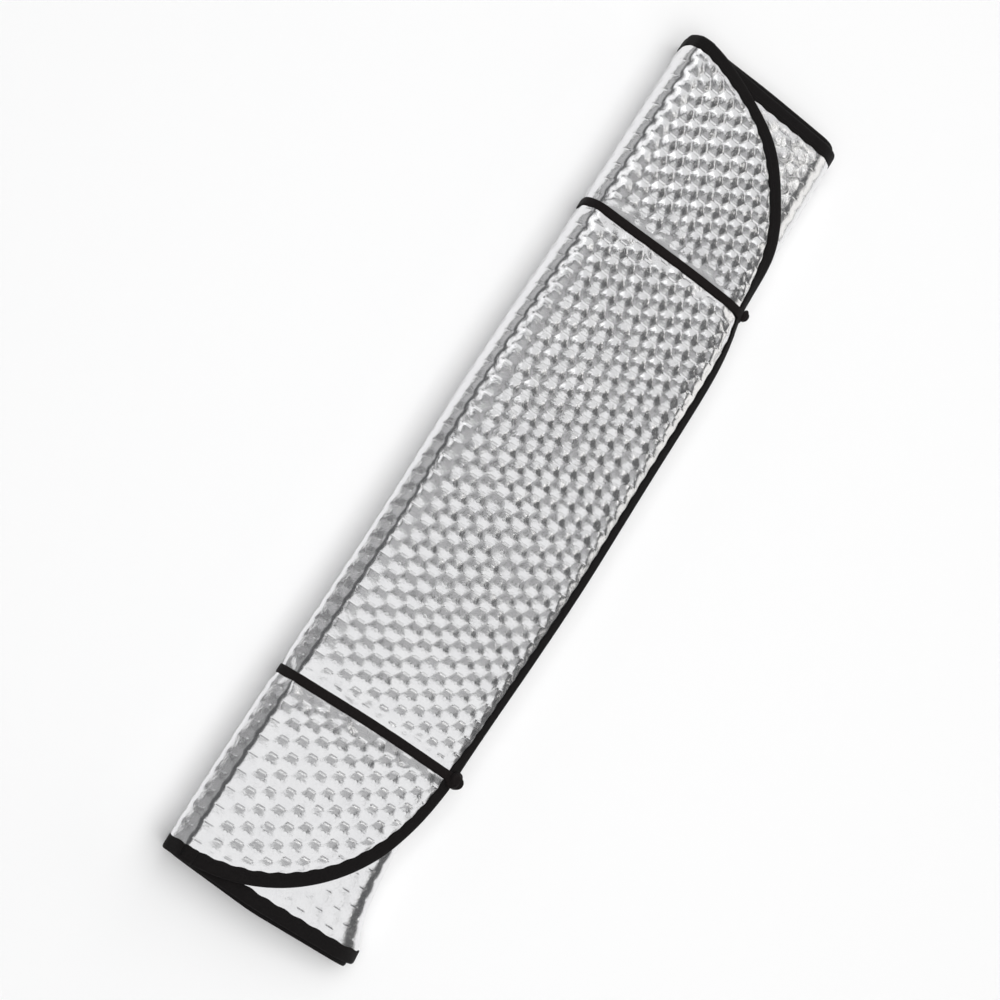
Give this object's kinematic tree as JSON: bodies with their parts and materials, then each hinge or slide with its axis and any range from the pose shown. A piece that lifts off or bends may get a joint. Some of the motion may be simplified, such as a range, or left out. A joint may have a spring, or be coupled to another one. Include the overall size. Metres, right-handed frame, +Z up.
{
  "type": "windscreen sunshade",
  "caption": "Silver bubble-foil windscreen sunshade with a black fabric edge, rolled up flat and held by two black elastic bands.",
  "frame": {"origin": "on the surface that the roll lies on, below the middle of the whole part", "axes": "+X along the roll, +Z up from the surface that it lies on; the loose flap ends on the -Y side"},
  "size_m": [0.6056, 0.1426, 0.0368],
  "materials": {
    "foil": "satin",
    "tape": "matte",
    "elastic": "matte"
  },
  "bodies": {
    "root": {"foil_sheet": "foil", "edge_tape": "tape", "elastic_band_upper": "elastic", "elastic_band_lower": "elastic"}
  },
  "joints": []
}
